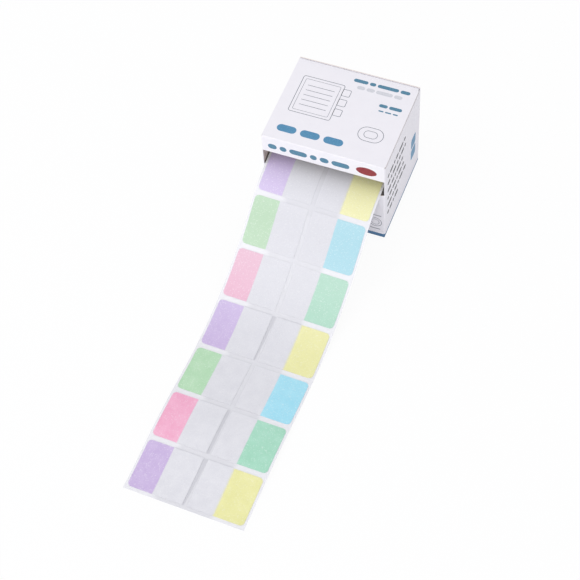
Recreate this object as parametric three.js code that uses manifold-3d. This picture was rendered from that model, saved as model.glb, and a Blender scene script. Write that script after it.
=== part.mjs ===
// Pull-out index tabs: a folded carton with a slot in its front, and in it a roll of
// release film that carries sticky tabs in pairs. Seven rows of tabs are pulled out over
// the sill of the slot and lie on the table in front.
// Millimetres, +Z up. The origin is the middle of the carton's base, and the slot faces -Y.

import * as THREE from 'three';
import { mergeVertices } from 'three/addons/utils/BufferGeometryUtils.js';
import Module from 'manifold-3d';

const wasm = await Module();
wasm.setup();

// Carton. Its width follows from the film, which has this clearance to each side wall.
const FILM_CLEARANCE = 1.15;
const CARTON_DEPTH = 54;
const CARTON_HEIGHT = 56.5;
const BOARD = 0.45;
const FOLD_RADIUS = 0.9;
const SILL_HEIGHT = 34.6;
const SLOT_HEIGHT = 11;
const SLOT_CORNER = 0.8;
const GLUE_TAB_WIDTH = 9;
const GLUE_TAB_TRIM = 3;

// Flaps at the top
const DUST_FLAP_LENGTH = 21;
const DUST_FLAP_TAPER = 3;
const DUST_FLAP_TRIM = 3.2;
const LID_INSET = 0.2;
const LID_GAP = 0.25;
const TUCK_LENGTH = 12;
const TUCK_CORNER = 6;
const TUCK_SPARE_LEAN = 1.5 * THREE.MathUtils.DEG2RAD;

// Release film and the tabs on it
const FILM = 0.12;
const TAB = 0.1;
const TAB_SEAT = 0.05;
const TAB_WIDTH = 28;
const TAB_LENGTH = 25;
const TAB_CORNER = 2;
const CENTRE_GAP = 2.4;
const ROW_GAP = 2.7;
const SIDE_MARGIN = 1.2;
const END_MARGIN = 1.8;
const ROWS_IN_ALL = 60;
const ROWS_OUT = 7;
const ROWS_ON_OUTER_TURN = 4;

// Roll, and the way the film takes from it to the table
const ROLL_RADIUS = 19.5;
const TURN_SLACK = 0.02;
const ROLL_GAP = 0.3;
const SILL_GAP = 0.5;
const ROW_BEHIND_SILL = 10.6;
const CREST_RADIUS = 61;
const DRAPE_SLOPE = 37.5 * THREE.MathUtils.DEG2RAD;
const RIPPLE_HEIGHT = 1.9;
const SKEW = 1.5 * THREE.MathUtils.DEG2RAD;

// Fineness of the curved stretches
const FILM_STEP = 2;
const TURN_STEPS = 96;
const FOLD_STEPS = 6;

const COLOURS = {
  board: 0xf4f2f6,
  film: 0xe6e6ec,
  violet: 0xcdbbe6,
  yellow: 0xe9e8ae,
  green: 0xb9deba,
  blue: 0xa9e1f1,
  pink: 0xf2b9d0,
  mint: 0xaadfc6,
};
const LEFT_CYCLE = ['violet', 'green', 'pink'];
const RIGHT_CYCLE = ['yellow', 'blue', 'mint'];

// Worked out from the sizes above
const filmWidth = 2 * (TAB_WIDTH + SIDE_MARGIN) + CENTRE_GAP;
const innerWidth = filmWidth + 2 * FILM_CLEARANCE;
const cartonWidth = innerWidth + 2 * BOARD;
const halfWidth = cartonWidth / 2;
const halfDepth = CARTON_DEPTH / 2;
const sideTop = CARTON_HEIGHT - BOARD - LID_GAP;
const hinge = { y: -halfDepth + BOARD, z: CARTON_HEIGHT - BOARD };
const rowPitch = TAB_LENGTH + ROW_GAP;
const turnPitch = FILM + TAB_SEAT + TAB + TURN_SLACK;
const skewReach = Math.tan(SKEW) * filmWidth / 2;

// Solids and meshes

function solidOf(geometry) {
  const bare = geometry.index ? geometry.toNonIndexed() : geometry.clone();
  bare.deleteAttribute('normal');
  bare.deleteAttribute('uv');
  const merged = mergeVertices(bare, 1e-5);
  return new wasm.Manifold(new wasm.Mesh({
    numProp: 3,
    vertProperties: new Float32Array(merged.attributes.position.array),
    triVerts: new Uint32Array(merged.index.array),
  }));
}

function geometryOf(solid) {
  const mesh = solid.getMesh();
  const geometry = new THREE.BufferGeometry();
  geometry.setAttribute('position', new THREE.BufferAttribute(mesh.vertProperties, 3));
  geometry.setIndex(new THREE.BufferAttribute(mesh.triVerts, 1));
  const flat = geometry.toNonIndexed();
  flat.computeVertexNormals();
  return flat;
}

function boxSolid(low, high) {
  const size = high.map((value, i) => value - low[i]);
  const box = new THREE.BoxGeometry(...size);
  box.translate(...low.map((value, i) => value + size[i] / 2));
  return solidOf(box);
}

// A prism that stands on the XY plane between two heights
function prismAlongZ(shape, low, high) {
  const prism = new THREE.ExtrudeGeometry(shape, {
    depth: high - low, bevelEnabled: false, curveSegments: FOLD_STEPS,
  });
  prism.translate(0, 0, low);
  return prism;
}

// A prism of an outline drawn in y and z, centred on x = 0
function prismAlongX(shape, width) {
  const prism = prismAlongZ(shape, -width / 2, width / 2);
  prism.applyMatrix4(new THREE.Matrix4().makeBasis(
    new THREE.Vector3(0, 1, 0), new THREE.Vector3(0, 0, 1), new THREE.Vector3(1, 0, 0)));
  return prism;
}

// A prism of an outline drawn in x and z, between two depths
function prismAlongY(shape, low, high) {
  const prism = prismAlongZ(shape, -high, -low);
  prism.rotateX(Math.PI / 2);
  return prism;
}

// An upright rectangle or a footprint whose four corners each have their own radius:
// low left, low right, high right, high left
function roundedOutline(low, high, radii) {
  const [lowLeft, lowRight, highRight, highLeft] = radii;
  const shape = new THREE.Shape();
  const corners = [
    [low[0] + lowLeft, low[1] + lowLeft, lowLeft, Math.PI],
    [high[0] - lowRight, low[1] + lowRight, lowRight, 1.5 * Math.PI],
    [high[0] - highRight, high[1] - highRight, highRight, 0],
    [low[0] + highLeft, high[1] - highLeft, highLeft, Math.PI / 2],
  ];
  shape.moveTo(low[0], low[1] + lowLeft);
  for (const [x, y, radius, start] of corners) {
    if (radius > 0) shape.absarc(x, y, radius, start, start + Math.PI / 2, false);
    else shape.lineTo(x, y);
  }
  shape.closePath();
  return shape;
}

// Carton: walls, base, dust flaps and glue tab are one folded and glued sheet

function shellBlock(inset, bottom, top) {
  const x = halfWidth - inset;
  const y = halfDepth - inset;
  const r = FOLD_RADIUS - inset;
  const plan = prismAlongZ(roundedOutline([-x, -y], [x, y], [r, r, r, r]), bottom, top);
  const front = prismAlongY(roundedOutline([-x, bottom], [x, top], [r, r, 0, 0]), -y, y);
  const side = prismAlongX(roundedOutline([-y, bottom], [y, top], [r, r, 0, 0]), 2 * x);
  return solidOf(plan).intersect(solidOf(front)).intersect(solidOf(side));
}

// The side walls turn in at the top as two tapered dust flaps
function dustFlap(side) {
  const wall = halfWidth - BOARD;
  const front = -halfDepth + BOARD + DUST_FLAP_TRIM;
  const back = halfDepth - BOARD - DUST_FLAP_TRIM;
  const tip = wall - DUST_FLAP_LENGTH;
  const shape = new THREE.Shape();
  shape.moveTo(side * (wall + BOARD / 2), front);
  shape.lineTo(side * (wall + BOARD / 2), back);
  shape.lineTo(side * tip, back - DUST_FLAP_TAPER);
  shape.lineTo(side * tip, front + DUST_FLAP_TAPER);
  shape.closePath();
  return solidOf(prismAlongZ(shape, sideTop - BOARD, sideTop));
}

function glueTab() {
  const wall = -halfWidth + BOARD;
  const back = halfDepth - BOARD;
  const top = CARTON_HEIGHT - TUCK_LENGTH - GLUE_TAB_TRIM;
  return boxSolid([wall - BOARD / 2, back - BOARD, GLUE_TAB_TRIM], [wall + GLUE_TAB_WIDTH, back + BOARD / 2, top]);
}

// The window runs the full width between the side walls
function slotCutter() {
  const half = innerWidth / 2;
  const outline = roundedOutline(
    [-half, SILL_HEIGHT], [half, SILL_HEIGHT + SLOT_HEIGHT], [SLOT_CORNER, SLOT_CORNER, 0, 0]);
  return solidOf(prismAlongY(outline, -halfDepth - BOARD, -halfDepth + 2 * BOARD));
}

// The fold between the lip and the lid, as a round bead on the hinge line
function foldBead() {
  const bead = new THREE.CylinderGeometry(BOARD, BOARD, cartonWidth - 2 * FOLD_RADIUS, 4 * FOLD_STEPS);
  bead.rotateZ(Math.PI / 2);
  bead.translate(0, hinge.y, hinge.z);
  return solidOf(bead);
}

function cartonGeometry() {
  const above = CARTON_HEIGHT + FOLD_RADIUS;
  const openTop = boxSolid(
    [-cartonWidth, -halfDepth + BOARD, sideTop], [cartonWidth, halfDepth - BOARD, above]);
  const hingeRelief = boxSolid(
    [-cartonWidth, -CARTON_DEPTH, hinge.z], [cartonWidth, hinge.y + BOARD / 2, above]);
  let carton = shellBlock(0, 0, CARTON_HEIGHT).subtract(shellBlock(BOARD, BOARD, above));
  carton = carton.subtract(openTop).subtract(hingeRelief).subtract(slotCutter());
  for (const side of [-1, 1]) carton = carton.add(dustFlap(side));
  return geometryOf(carton.add(glueTab()).add(foldBead()));
}

// Lid: the top panel and its tuck flap, which leans in so that it swings clear of the back wall

function lidGeometry() {
  const reach = halfDepth - BOARD - ROLL_GAP - hinge.y;
  const fall = TUCK_LENGTH - FOLD_RADIUS;
  const lean = Math.asin(fall / (2 * reach)) + TUCK_SPARE_LEAN;
  const rear = hinge.y + reach;
  const centre = { y: rear - FOLD_RADIUS, z: CARTON_HEIGHT - FOLD_RADIUS };
  const inner = FOLD_RADIUS - BOARD;
  const along = { y: -Math.sin(lean), z: -Math.cos(lean) };
  const out = { y: Math.cos(lean), z: -Math.sin(lean) };
  const start = hinge.y + BOARD;

  const outline = new THREE.Shape();
  outline.moveTo(start, CARTON_HEIGHT - BOARD);
  outline.absarc(centre.y, centre.z, inner, Math.PI / 2, -lean, true);
  outline.lineTo(centre.y + inner * out.y + fall * along.y, centre.z + inner * out.z + fall * along.z);
  outline.lineTo(centre.y + FOLD_RADIUS * out.y + fall * along.y, centre.z + FOLD_RADIUS * out.z + fall * along.z);
  outline.absarc(centre.y, centre.z, FOLD_RADIUS, -lean, Math.PI / 2, false);
  outline.lineTo(start, CARTON_HEIGHT);
  outline.closePath();

  const tuckHalf = innerWidth / 2 - ROLL_GAP;
  const tuckOutline = roundedOutline(
    [-tuckHalf, CARTON_HEIGHT - TUCK_LENGTH - FOLD_RADIUS], [tuckHalf, CARTON_HEIGHT + FOLD_RADIUS],
    [TUCK_CORNER, TUCK_CORNER, 0, 0]);
  const tuck = solidOf(prismAlongX(outline, cartonWidth)).intersect(
    solidOf(prismAlongY(tuckOutline, hinge.y, rear + FOLD_RADIUS)));
  const panelHalf = halfWidth - LID_INSET;
  const panel = boxSolid([-panelHalf, start, CARTON_HEIGHT - BOARD], [panelHalf, centre.y, CARTON_HEIGHT]);
  const swing = new THREE.CylinderGeometry(
    BOARD + LID_GAP, BOARD + LID_GAP, cartonWidth, 4 * FOLD_STEPS);
  swing.rotateZ(Math.PI / 2);
  swing.translate(0, hinge.y, hinge.z);
  return geometryOf(tuck.add(panel).subtract(solidOf(swing)));
}

// Film: its sticker side runs from the roll over the sill and down to the table.
// Distances along it are counted from the sill, and are negative inside the carton.

function filmRoute() {
  const outer = ROLL_RADIUS + TAB_SEAT + TAB;
  const centre = {
    y: -halfDepth + BOARD + ROLL_GAP + skewReach + outer,
    z: BOARD + ROLL_GAP + outer,
  };
  const sill = { y: -halfDepth, z: SILL_HEIGHT + SILL_GAP + FILM };
  const away = Math.hypot(centre.y - sill.y, centre.z - sill.z);
  const lead = Math.sqrt(away ** 2 - ROLL_RADIUS ** 2);
  const slope = Math.asin(ROLL_RADIUS / away) - Math.atan2(sill.z - centre.z, centre.y - sill.y);

  const crest = CREST_RADIUS * (DRAPE_SLOPE - slope);
  const crestEnd = {
    y: sill.y - CREST_RADIUS * (Math.sin(DRAPE_SLOPE) - Math.sin(slope)),
    z: sill.z - CREST_RADIUS * (Math.cos(slope) - Math.cos(DRAPE_SLOPE)),
  };
  const landingRadius = (crestEnd.z - FILM) / (1 - Math.cos(DRAPE_SLOPE));
  const landed = crest + landingRadius * DRAPE_SLOPE;
  const landedY = crestEnd.y - landingRadius * Math.sin(DRAPE_SLOPE);
  const end = ROWS_OUT * rowPitch - ROW_GAP - ROW_BEHIND_SILL + END_MARGIN;
  const ripple = end - landed;
  return { centre, sill, lead, slope, crest, crestEnd, landingRadius, landed, landedY, end, ripple };
}

const route = filmRoute();

// Place and downward slope of the film's sticker side, at a distance from the sill
function filmAt(distance) {
  const { centre, sill, lead, slope, crest, crestEnd, landingRadius, landed, landedY, ripple } = route;
  if (distance < -lead) {
    const turned = (-lead - distance) / ROLL_RADIUS;
    const radius = ROLL_RADIUS - turnPitch * turned / (2 * Math.PI);
    const angle = Math.PI / 2 + slope - turned;
    return { y: centre.y + radius * Math.cos(angle), z: centre.z + radius * Math.sin(angle), slope: slope - turned };
  }
  if (distance < 0) {
    return { y: sill.y - distance * Math.cos(slope), z: sill.z - distance * Math.sin(slope), slope };
  }
  if (distance < crest) {
    const angle = slope + distance / CREST_RADIUS;
    return {
      y: sill.y - CREST_RADIUS * (Math.sin(angle) - Math.sin(slope)),
      z: sill.z - CREST_RADIUS * (Math.cos(slope) - Math.cos(angle)),
      slope: angle,
    };
  }
  if (distance < landed) {
    const angle = DRAPE_SLOPE - (distance - crest) / landingRadius;
    return {
      y: crestEnd.y - landingRadius * (Math.sin(DRAPE_SLOPE) - Math.sin(angle)),
      z: crestEnd.z - landingRadius * (Math.cos(angle) - Math.cos(DRAPE_SLOPE)),
      slope: angle,
    };
  }
  const along = distance - landed;
  const phase = 2 * Math.PI * along / ripple;
  return {
    y: landedY - along,
    z: FILM + RIPPLE_HEIGHT * (1 - Math.cos(phase)) / 2,
    slope: -Math.atan(RIPPLE_HEIGHT * Math.PI / ripple * Math.sin(phase)),
  };
}

// A point raised from the film's sticker side by a height, square to the film
function overFilm(distance, height) {
  const { y, z, slope } = filmAt(distance);
  return new THREE.Vector2(y - height * Math.sin(slope), z + height * Math.cos(slope));
}

function evenSteps(from, to, step) {
  const count = Math.max(1, Math.round(Math.abs(to - from) / step));
  return Array.from({ length: count + 1 }, (_, i) => from + (to - from) * i / count);
}

// The rest of the film is wound in the roll, whose bore follows from the length that is left
function boreRadius() {
  const wound = (ROWS_IN_ALL - ROWS_OUT) * rowPitch - route.lead;
  return Math.sqrt(ROLL_RADIUS ** 2 - wound * turnPitch / Math.PI);
}

// The roll's turns are one solid with the film that leaves it
function filmGeometry() {
  const { centre, lead, slope, end } = route;
  const upper = evenSteps(end, -lead, FILM_STEP).map((distance) => overFilm(distance, 0));
  const lower = evenSteps(-lead, end, FILM_STEP).map((distance) => overFilm(distance, -FILM));
  const turn = [];
  for (let i = 1; i <= TURN_STEPS; i += 1) {
    turn.push(overFilm(-lead - 2 * Math.PI * ROLL_RADIUS * i / TURN_STEPS, 0));
  }
  const shape = new THREE.Shape([...upper, ...turn, ...lower]);
  const bore = [];
  for (let i = 0; i < TURN_STEPS / 2; i += 1) {
    const share = 2 * i / TURN_STEPS;
    const radius = boreRadius() + turnPitch * share;
    const angle = Math.PI / 2 + slope + 2 * Math.PI * share;
    bore.push(new THREE.Vector2(centre.y + radius * Math.cos(angle), centre.z + radius * Math.sin(angle)));
  }
  shape.holes.push(new THREE.Path(bore));
  return prismAlongX(shape, filmWidth);
}

// A tab is a thin sheet that follows the film. Its two outer corners are round.
function tabGeometry(row, side) {
  const start = (row - 1) * rowPitch - ROW_BEHIND_SILL;
  const cornerSteps = [];
  for (let i = 0; i < FOLD_STEPS; i += 1) {
    cornerSteps.push(TAB_CORNER * (1 - Math.cos(Math.PI / 2 * i / FOLD_STEPS)));
  }
  const along = [
    ...cornerSteps,
    ...evenSteps(TAB_CORNER, TAB_LENGTH - TAB_CORNER, FILM_STEP),
    ...cornerSteps.toReversed().map((step) => TAB_LENGTH - step),
  ];
  const inner = CENTRE_GAP / 2;
  const points = [];
  for (const step of along) {
    const fromEnd = Math.min(step, TAB_LENGTH - step, TAB_CORNER);
    const trim = TAB_CORNER - Math.sqrt(TAB_CORNER ** 2 - (TAB_CORNER - fromEnd) ** 2);
    const outer = inner + TAB_WIDTH - trim;
    const under = overFilm(start + step, TAB_SEAT);
    const over = overFilm(start + step, TAB_SEAT + TAB);
    for (const [x, point] of [[inner, under], [outer, under], [outer, over], [inner, over]]) {
      points.push([side * x, point.x, point.y]);
    }
  }
  return ringedStrip(points, side > 0);
}

// Skins a run of four-cornered sections, and closes both ends
function ringedStrip(points, flipped) {
  const faces = [[0, 1, 2], [0, 2, 3]];
  const last = points.length - 4;
  for (let base = 0; base < last; base += 4) {
    for (let k = 0; k < 4; k += 1) {
      const next = (k + 1) % 4;
      faces.push([base + k, base + 4 + k, base + 4 + next], [base + k, base + 4 + next, base + next]);
    }
  }
  faces.push([last, last + 2, last + 1], [last, last + 3, last + 2]);
  const ordered = faces.map(([a, b, c]) => (flipped ? [a, c, b] : [a, b, c]));
  const geometry = new THREE.BufferGeometry();
  geometry.setAttribute('position', new THREE.Float32BufferAttribute(points.flat(), 3));
  geometry.setIndex(ordered.flat());
  geometry.computeVertexNormals();
  return geometry;
}

// The model

function named(name, geometry, colour, roughness) {
  const material = new THREE.MeshStandardMaterial({ color: colour, roughness, metalness: 0 });
  const mesh = new THREE.Mesh(geometry, material);
  mesh.name = name;
  return mesh;
}

const indexTabs = new THREE.Group();
indexTabs.add(named('carton', cartonGeometry(), COLOURS.board, 0.55));
indexTabs.add(named('lid', lidGeometry(), COLOURS.board, 0.55));

// The film left the slot a little askew, so the roll and all that is on it turn as one
const wound = new THREE.Group();
wound.position.set(0, route.centre.y, 0);
wound.rotation.z = -SKEW;
const reel = new THREE.Group();
reel.position.set(0, -route.centre.y, 0);
wound.add(reel);
indexTabs.add(wound);

reel.add(named('release_film', filmGeometry(), COLOURS.film, 0.45));
for (let row = 1 - ROWS_ON_OUTER_TURN; row <= ROWS_OUT; row += 1) {
  const turn = (row + ROWS_ON_OUTER_TURN * LEFT_CYCLE.length - 1) % LEFT_CYCLE.length;
  const place = row > 0 ? `row_${row}` : `wound_row_${1 - row}`;
  for (const [side, label, cycle] of [[-1, 'left', LEFT_CYCLE], [1, 'right', RIGHT_CYCLE]]) {
    const name = `tab_${place}_${label}`;
    reel.add(named(name, tabGeometry(row, side), COLOURS[cycle[turn]], 0.4));
  }
}

export default indexTabs;
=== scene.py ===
"""Looks of the pull-out index tabs: a folded white carton with a slot in its front, a strip
of release film that comes out over the sill of the slot, and pearly sticky tabs in pairs.

Lengths in the classes are in millimetres, as in the part's own drawing. Blender's are in
metres, in the same frame: +Z up, -Y out of the slot, the origin under the carton's middle.
"""

import logging
import math
from dataclasses import dataclass, field
from enum import Enum
from typing import Any, Callable

import bmesh
import bpy
from mathutils import Matrix, Vector

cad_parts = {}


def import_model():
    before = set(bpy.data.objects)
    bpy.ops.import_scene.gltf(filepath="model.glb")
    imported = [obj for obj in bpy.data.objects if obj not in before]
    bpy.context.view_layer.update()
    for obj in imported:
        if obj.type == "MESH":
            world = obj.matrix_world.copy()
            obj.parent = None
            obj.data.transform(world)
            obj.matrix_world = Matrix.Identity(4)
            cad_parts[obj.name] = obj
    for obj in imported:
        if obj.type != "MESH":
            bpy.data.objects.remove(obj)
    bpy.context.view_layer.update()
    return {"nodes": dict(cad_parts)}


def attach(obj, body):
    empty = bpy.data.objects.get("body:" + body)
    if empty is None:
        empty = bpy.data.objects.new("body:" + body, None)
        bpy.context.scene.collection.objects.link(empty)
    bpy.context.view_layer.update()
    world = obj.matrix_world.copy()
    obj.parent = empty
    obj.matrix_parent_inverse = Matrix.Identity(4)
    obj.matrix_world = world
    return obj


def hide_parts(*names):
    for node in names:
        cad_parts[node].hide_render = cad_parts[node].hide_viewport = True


MM = 0.001
CARTON_BODY = "carton"
LID_BODY = "lid"

log = logging.getLogger("index_tabs")


# Small helpers


def linear(colour: str) -> tuple[float, float, float, float]:
    """Turn an sRGB colour into the linear one that a shader takes.

    Args:
        colour: Six hex digits, such as "efedf3".

    Returns:
        Red, green, blue and alpha, with alpha 1.
    """
    parts = [int(colour[i : i + 2], 16) / 255 for i in (0, 2, 4)]
    red, green, blue = (c / 12.92 if c <= 0.04045 else ((c + 0.055) / 1.055) ** 2.4 for c in parts)
    return red, green, blue, 1.0


def add_node(
    tree: bpy.types.NodeTree, kind: str, settings: dict[str, Any] | None = None, **links: Any
) -> bpy.types.Node:
    """Add one node with its settings, values and links.

    Args:
        tree: The node tree it goes into.
        kind: The node's Blender type name.
        settings: Properties of the node, by name.
        **links: Input sockets by name, with _ for a space or in<number> for an index. A
            socket is linked and anything else is set as the value.

    Returns:
        The new node.
    """
    node = tree.nodes.new(kind)
    for name, value in (settings or {}).items():
        setattr(node, name, value)
    for name, value in links.items():
        place = int(name[2:]) if name.startswith("in") and name[2:].isdigit() else name.replace("_", " ")
        if isinstance(value, bpy.types.NodeSocket):
            tree.links.new(value, node.inputs[place])
        else:
            node.inputs[place].default_value = value
    return node


def new_material(name: str) -> tuple[bpy.types.Material, bpy.types.NodeTree]:
    """Start an empty node material.

    Args:
        name: What the real material is.

    Returns:
        The material and its node tree.
    """
    material = bpy.data.materials.new(name)
    material.use_nodes = True
    material.node_tree.nodes.clear()
    return material, material.node_tree


def make_active(piece: bpy.types.Object) -> None:
    """Select one piece and nothing else.

    Args:
        piece: The piece that the next operator acts on.
    """
    bpy.ops.object.select_all(action="DESELECT")
    piece.select_set(True)
    bpy.context.view_layer.objects.active = piece


def settle(piece: bpy.types.Object, name: str) -> bpy.types.Object:
    """Put a new primitive's place, turn and size into its mesh and name it.

    Args:
        piece: The primitive.
        name: Its new name.

    Returns:
        The same piece, with its object at the origin.
    """
    make_active(piece)
    bpy.ops.object.transform_apply(location=True, rotation=True, scale=True)
    piece.name = piece.data.name = name
    return piece


def start_sheet(
    name: str, middle: tuple[float, float], size: tuple[float, float], height: float = 0.0
) -> bpy.types.Object:
    """Start a piece as one flat rectangle that lies level.

    Args:
        name: The piece's name.
        middle: x and y of its middle, in millimetres.
        size: Its width and depth, in millimetres.
        height: Its z, in millimetres.

    Returns:
        The new piece.
    """
    bpy.ops.object.select_all(action="DESELECT")
    bpy.ops.mesh.primitive_plane_add(size=1, location=(middle[0] * MM, middle[1] * MM, height * MM))
    sheet = bpy.context.object
    sheet.scale = (size[0] * MM, size[1] * MM, 1)
    return settle(sheet, name)


class Element(Enum):
    """What is picked in edit mode."""

    VERTEX = "VERT"
    EDGE = "EDGE"


def pick(piece: bpy.types.Object, element: Element, test: Callable[[Vector], bool]) -> None:
    """Select the elements of a piece in edit mode whose ends all pass a test.

    Args:
        piece: The piece that is in edit mode.
        element: Vertices or edges.
        test: Says yes or no to a place, in metres.
    """
    bpy.ops.mesh.select_mode(type=element.value)
    bpy.ops.mesh.select_all(action="DESELECT")
    mesh = bmesh.from_edit_mesh(piece.data)
    if element is Element.VERTEX:
        chosen = [vertex for vertex in mesh.verts if test(vertex.co)]
    else:
        chosen = [edge for edge in mesh.edges if all(test(vertex.co) for vertex in edge.verts)]
    for item in chosen:
        item.select_set(True)
    mesh.select_flush_mode()
    bmesh.update_edit_mesh(piece.data)


def cut_line(place: tuple[float, float, float], normal: tuple[float, float, float]) -> None:
    """Cut one line right through the piece in edit mode, to bend it at."""
    bpy.ops.mesh.select_all(action="SELECT")
    bpy.ops.mesh.bisect(plane_co=place, plane_no=normal)


def apply_modifier(piece: bpy.types.Object, kind: str, **settings: Any) -> None:
    """Add one modifier to a piece and apply it.

    Args:
        piece: The piece.
        kind: The modifier's Blender type name.
        **settings: Its properties, by name.
    """
    make_active(piece)
    modifier = piece.modifiers.new(kind.title(), kind)
    for name, value in settings.items():
        setattr(modifier, name, value)
    bpy.ops.object.modifier_apply(modifier=modifier.name)


def smooth(piece: bpy.types.Object, degrees: float = 30) -> None:
    """Shade a piece smooth, with its real edges kept."""
    make_active(piece)
    bpy.ops.object.shade_smooth_by_angle(angle=math.radians(degrees))


def merged_copy(node: bpy.types.Object, name: str) -> bpy.types.Object:
    """Copy a CAD node's loose triangles into a new piece with joined corners.

    Args:
        node: The CAD node, which is left alone.
        name: The new piece's name.

    Returns:
        The new piece, shaded smooth over its gentle bends.
    """
    piece = bpy.data.objects.new(name, node.data.copy())
    bpy.context.scene.collection.objects.link(piece)
    make_active(piece)
    bpy.ops.object.mode_set(mode="EDIT")
    bpy.ops.mesh.select_all(action="SELECT")
    bpy.ops.mesh.remove_doubles(threshold=1e-6)
    bpy.ops.object.mode_set(mode="OBJECT")
    bpy.ops.mesh.customdata_custom_splitnormals_clear()
    smooth(piece)
    return piece


def turn_faces_out(piece: bpy.types.Object) -> None:
    """Turn the faces of a closed piece outwards.

    Args:
        piece: The piece, in object mode.
    """
    make_active(piece)
    bpy.ops.object.mode_set(mode="EDIT")
    bpy.ops.mesh.select_all(action="SELECT")
    bpy.ops.mesh.normals_make_consistent(inside=False)
    bpy.ops.object.mode_set(mode="OBJECT")


def dress(piece: bpy.types.Object, *materials: bpy.types.Material) -> None:
    """Give a piece its materials.

    Args:
        piece: The piece.
        *materials: One for each of its material slots, in order.
    """
    piece.data.materials.clear()
    for material in materials:
        piece.data.materials.append(material)


def across_strip(
    tree: bpy.types.NodeTree, place: bpy.types.NodeSocket, skew: float, pivot_y: float
) -> bpy.types.NodeSocket:
    """Turn a place on the strip into its distance from the strip's middle line, in metres.

    Args:
        tree: The material's tree.
        place: Object coordinates.
        skew: How far the strip is turned, in radians.
        pivot_y: Where on the carton's middle line it turns, in metres.

    Returns:
        The distance, positive to the right.
    """
    square = add_node(
        tree, "ShaderNodeMapping", {"vector_type": "POINT"}, Vector=place,
        Rotation=(0, 0, skew), Location=(pivot_y * math.sin(skew), pivot_y * (1 - math.cos(skew)), 0),
    )
    return add_node(tree, "ShaderNodeSeparateXYZ", Vector=square.outputs[0]).outputs[0]


def mottled(
    tree: bpy.types.NodeTree, place: bpy.types.NodeSocket, size_mm: float, detail: float,
    colours: tuple[str, str],
) -> tuple[bpy.types.NodeSocket, bpy.types.NodeSocket]:
    """Mix two colours in soft random patches.

    Args:
        tree: The material's tree.
        place: Object coordinates.
        size_mm: Size of the patches.
        detail: How many finer patterns lie over them.
        colours: The two colours as six hex digits.

    Returns:
        The pattern and the mixed colour.
    """
    pattern = add_node(tree, "ShaderNodeTexNoise", Vector=place, Scale=1 / (size_mm * MM), Detail=detail)
    tone = add_node(
        tree, "ShaderNodeMix", {"data_type": "RGBA"},
        in0=pattern.outputs["Fac"], in6=linear(colours[0]), in7=linear(colours[1]),
    )
    return pattern.outputs["Fac"], tone.outputs[2]


def end_see_through(
    tree: bpy.types.NodeTree, skin: bpy.types.Node, share: float | bpy.types.NodeSocket
) -> None:
    """End a film's material so that part of the light goes straight through.

    Args:
        tree: The material's tree.
        skin: The film's surface shader.
        share: How much of the light goes through, from 0 to 1.
    """
    clear = add_node(tree, "ShaderNodeBsdfTransparent", Color=(1, 1, 1, 1))
    both = add_node(tree, "ShaderNodeMixShader", Fac=share, in1=skin.outputs[0], in2=clear.outputs[0])
    add_node(tree, "ShaderNodeOutputMaterial", Surface=both.outputs[0])


# Finishes


@dataclass(frozen=True)
class CoatedBoard:
    """White-lined folding carton board with a thin matt coating.

    It is almost white with a cool cast, and reflects softly. Fibres under the coating give a
    faint mottle and an uneven surface that only raking light shows. They are drawn at 0.6 mm,
    coarser than in life, so that they show in the render.
    """

    name: str = "coated_carton_board"
    face: str = "f4f2f7"
    mottle: str = "edebf1"
    mottle_mm: float = 7.0
    fibre_mm: float = 0.6
    roughness: float = 0.52
    gloss_spread: float = 0.06
    fibre_relief: float = 0.12
    fibre_depth_mm: float = 0.04
    ior: float = 1.48

    def make(self) -> bpy.types.Material:
        """Build the material.

        Returns:
            The material.
        """
        material, tree = new_material(self.name)
        place = add_node(tree, "ShaderNodeTexCoord").outputs["Object"]
        tone = mottled(tree, place, self.mottle_mm, 3.0, (self.face, self.mottle))[1]
        fibre = add_node(tree, "ShaderNodeTexNoise", Vector=place, Scale=1 / (self.fibre_mm * MM), Detail=4.0)
        bump = add_node(
            tree, "ShaderNodeBump", Strength=self.fibre_relief, Distance=self.fibre_depth_mm * MM,
            Height=fibre.outputs["Fac"],
        )
        gloss = add_node(
            tree, "ShaderNodeMapRange", Value=fibre.outputs["Fac"],
            To_Min=self.roughness - self.gloss_spread, To_Max=self.roughness + self.gloss_spread,
        )
        skin = add_node(
            tree, "ShaderNodeBsdfPrincipled", Base_Color=self.surface_colour(tree, place, tone),
            Roughness=gloss.outputs[0], Normal=bump.outputs[0], IOR=self.ior,
        )
        add_node(tree, "ShaderNodeOutputMaterial", Surface=skin.outputs[0])
        return material

    def surface_colour(
        self, tree: bpy.types.NodeTree, place: bpy.types.NodeSocket, tone: bpy.types.NodeSocket
    ) -> bpy.types.NodeSocket:
        """Give the colour of the outer side, which a kind of board with other sides changes."""
        return tone


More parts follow.
